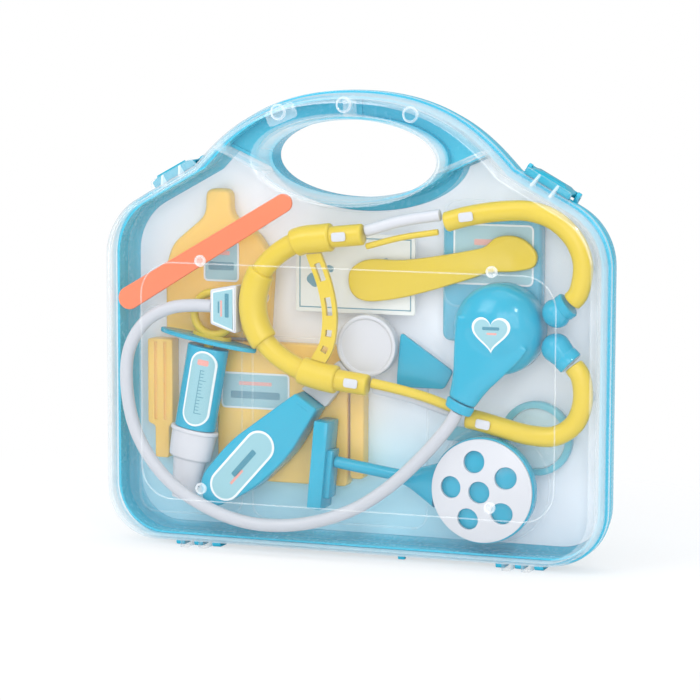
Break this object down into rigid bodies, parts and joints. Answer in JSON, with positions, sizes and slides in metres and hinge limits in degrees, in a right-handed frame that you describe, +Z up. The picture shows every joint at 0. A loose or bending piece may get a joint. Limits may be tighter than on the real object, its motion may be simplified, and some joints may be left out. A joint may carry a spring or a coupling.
{
  "type": "toy doctor case",
  "caption": "Toy doctor case with an arched carry handle, hinged clear lid, shoulder latches and a set of toy medical tools inside.",
  "frame": {"origin": "middle of the standing base, under the case", "axes": "+X to the right seen from the front, +Y to the back, +Z up; the clear lid faces -Y"},
  "size_m": [0.268, 0.0406, 0.24],
  "materials": {
    "clear_lid": "clear moulded plastic, gloss",
    "base_blue": "gloss moulded plastic",
    "latch_blue": "gloss moulded plastic",
    "tray_clear": "thin clear formed sheet",
    "card": "matt coated card",
    "picture": "matt printed card",
    "orange": "matt moulded plastic",
    "yellow": "satin moulded plastic",
    "tan": "satin moulded plastic",
    "white": "satin moulded plastic",
    "tube_white": "satin soft vinyl",
    "tool_blue": "gloss moulded plastic",
    "label": "printed paper label",
    "teal": "gloss moulded plastic",
    "lens": "clear moulded plastic, gloss"
  },
  "bodies": {
    "case": {"base_shell": "base_blue", "backing_card": "card", "inner_tray": "tray_clear", "tongue_depressor": "orange", "spatula": "yellow", "blue_wedge": "tool_blue", "headset_yoke": "yellow", "headset_strap": "yellow", "upper_link_rod": "white", "lower_link_rod": "white", "upper_link_strip": "yellow", "lower_link_strip": "yellow", "ear_arm_upper": "yellow", "ear_arm_lower": "yellow", "ear_tip_upper": "tool_blue", "ear_tip_lower": "tool_blue", "snap_tab_1": "white", "snap_tab_2": "white", "snap_tab_3": "white", "snap_tab_4": "white", "tube_connector": "white", "connector_label": "label", "stethoscope_tube": "tube_white", "chestpiece": "tool_blue", "chestpiece_collar": "tool_blue", "heart_label": "label", "otoscope_handle": "tool_blue", "otoscope_label": "label", "otoscope_neck": "white", "otoscope_disc": "white", "syringe_barrel": "tool_blue", "syringe_sleeve": "white", "syringe_label": "label", "hammer_head": "tool_blue", "hammer_shaft": "tool_blue", "hearing_drum": "tool_blue", "drum_cover": "white", "toy_bottle": "tan", "bottle_label": "label", "record_book": "tan", "book_label": "label", "ruler_bar": "tan", "ridged_dropper": "tan", "picture_card": "picture", "toy_phone": "tool_blue", "phone_label": "label", "lens_frame": "teal", "lens": "lens"},
    "lid": {"clear_lid": "clear_lid"},
    "latch_right": {"latch_right": "latch_blue"},
    "latch_left": {"latch_left": "latch_blue"},
    "plunger": {"syringe_plunger": "yellow"}
  },
  "joints": [
    {"name": "lid_hinge", "type": "hinge", "parent": "case", "child": "lid", "pos_m": [0, 0.00135, 0.0015], "axis": [1, 0, 0], "range_deg": [0, 180]},
    {"name": "latch_right_hinge", "type": "hinge", "parent": "case", "child": "latch_right", "pos_m": [0.10073, 0.01035, 0.19539], "axis": [-0.8746, 0, 0.4848], "range_deg": [0, 75]},
    {"name": "latch_left_hinge", "type": "hinge", "parent": "case", "child": "latch_left", "pos_m": [-0.10073, 0.01035, 0.19539], "axis": [-0.8746, 0, -0.4848], "range_deg": [0, 75]},
    {"name": "plunger_slide", "type": "slide", "parent": "case", "child": "plunger", "axis": [0.1754, 0, 0.9845], "range_m": [0, 0.018]}
  ]
}
